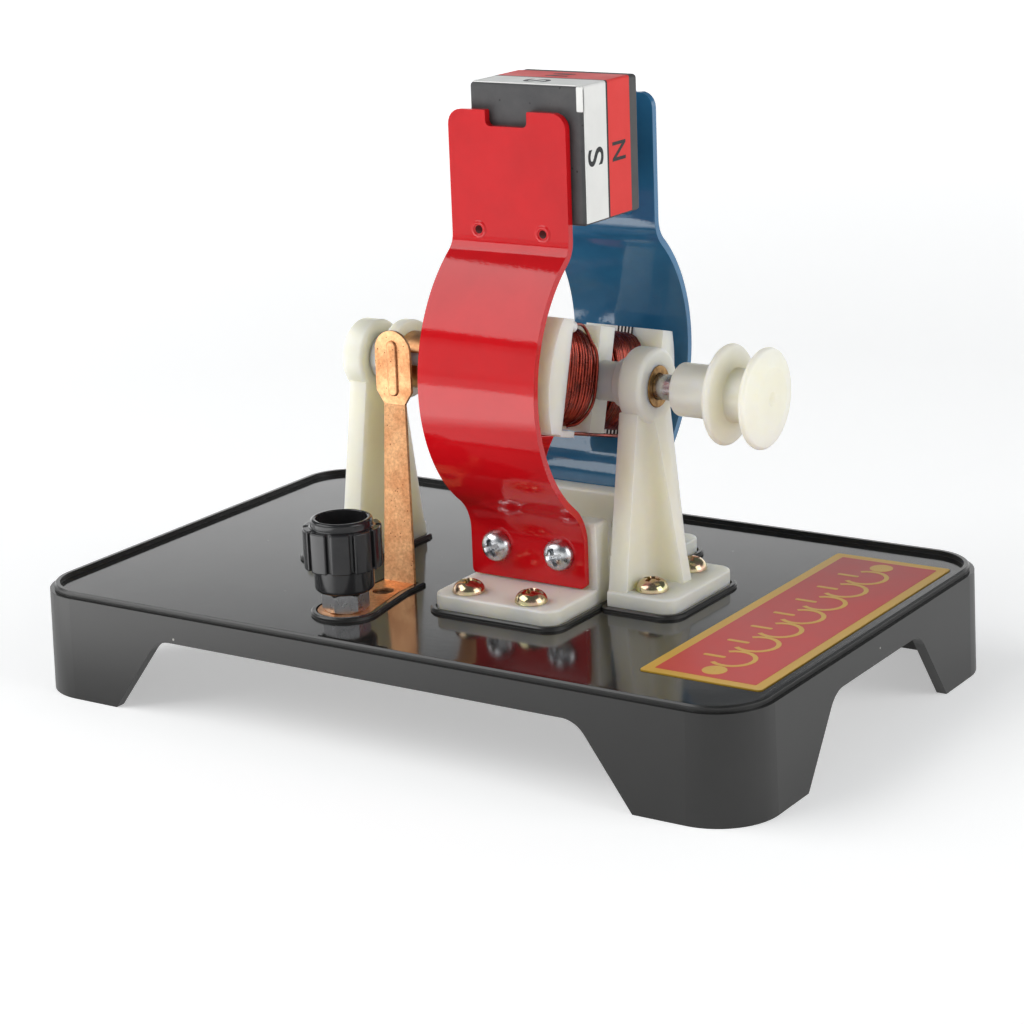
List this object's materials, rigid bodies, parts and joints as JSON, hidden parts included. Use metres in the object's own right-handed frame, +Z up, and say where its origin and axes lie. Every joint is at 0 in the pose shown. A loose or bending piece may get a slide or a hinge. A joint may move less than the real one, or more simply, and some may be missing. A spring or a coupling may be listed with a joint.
{
  "type": "demonstration electric motor",
  "caption": "Two-pole demonstration motor on a black four-legged base: red and blue pole strips, a lift-off block magnet, wound armature, brushes and a belt pulley.",
  "frame": {"origin": "middle of the base's footprint, at the soles of the four legs", "axes": "+X along the base's long side towards the pulley, +Y from the red pole to the blue pole, +Z up"},
  "size_m": [0.166, 0.1062, 0.1225],
  "materials": {
    "black_moulding": "gloss",
    "plate_print": "satin",
    "ivory_nylon": "satin",
    "bronze": "satin",
    "red_enamel": "gloss",
    "blue_enamel": "gloss",
    "bright_zinc": "polished",
    "yellow_zinc": "polished",
    "plain_steel": "satin",
    "copper_strip": "satin",
    "black_knob": "gloss",
    "red_knob": "gloss",
    "turned_brass": "polished",
    "ferrite": "matte",
    "label_print": "satin",
    "core_iron": "satin",
    "enamelled_copper": "gloss",
    "commutator_copper": "satin"
  },
  "bodies": {
    "motor_frame": {"base_moulding": "black_moulding", "nameplate": "plate_print", "support_right": "ivory_nylon", "support_left": "ivory_nylon", "bush_right": "bronze", "bush_left": "bronze", "pole_bracket": "ivory_nylon", "pole_red": "red_enamel", "pole_blue": "blue_enamel", "pole_screws": "bright_zinc", "foot_screws": "yellow_zinc", "foot_washers": "plain_steel", "foot_nuts": "plain_steel", "brush_front": "copper_strip", "brush_back": "copper_strip", "post_studs": "turned_brass", "post_nuts": "bright_zinc", "post_under_washers": "plain_steel", "post_under_nuts": "plain_steel"},
    "rotor": {"shaft": "plain_steel", "core_laminations": "core_iron", "armature_former": "ivory_nylon", "coil_front": "enamelled_copper", "coil_back": "enamelled_copper", "crossing_wires": "enamelled_copper", "commutator_insulator": "ivory_nylon", "segment_upper": "commutator_copper", "segment_lower": "commutator_copper", "lead_wires": "enamelled_copper", "pulley": "ivory_nylon"},
    "magnet": {"magnet_block": "ferrite", "magnet_label": "label_print"},
    "knob_front_thread": {"knob_front_insert": "turned_brass"},
    "knob_front": {"knob_front_cap": "black_knob"},
    "knob_back_thread": {"knob_back_insert": "turned_brass"},
    "knob_back": {"knob_back_cap": "red_knob"}
  },
  "joints": [
    {"name": "rotor_spin", "type": "hinge", "parent": "motor_frame", "child": "rotor", "pos_m": [0, 0.0028, 0.0633], "axis": [1, 0, 0], "continuous": true},
    {"name": "magnet_lift", "type": "slide", "parent": "motor_frame", "child": "magnet", "axis": [0, 0, 1], "range_m": [0, 0.06]},
    {"name": "knob_front_rise", "type": "slide", "parent": "motor_frame", "child": "knob_front_thread", "axis": [0, 0, 1], "range_m": [0, 0.0032]},
    {"name": "knob_front_turn", "type": "hinge", "parent": "knob_front_thread", "child": "knob_front", "pos_m": [-0.0155, -0.034, 0.03], "axis": [0, 0, 1], "range_deg": [0, 1440]},
    {"name": "knob_back_rise", "type": "slide", "parent": "motor_frame", "child": "knob_back_thread", "axis": [0, 0, 1], "range_m": [0, 0.0032]},
    {"name": "knob_back_turn", "type": "hinge", "parent": "knob_back_thread", "child": "knob_back", "pos_m": [-0.0155, 0.0396, 0.03], "axis": [0, 0, 1], "range_deg": [0, 1440]}
  ],
  "couplings": [
    {"joint": "knob_front_turn", "follows": "knob_front_rise", "rad_per_m": 7854},
    {"joint": "knob_back_turn", "follows": "knob_back_rise", "rad_per_m": 7854}
  ]
}
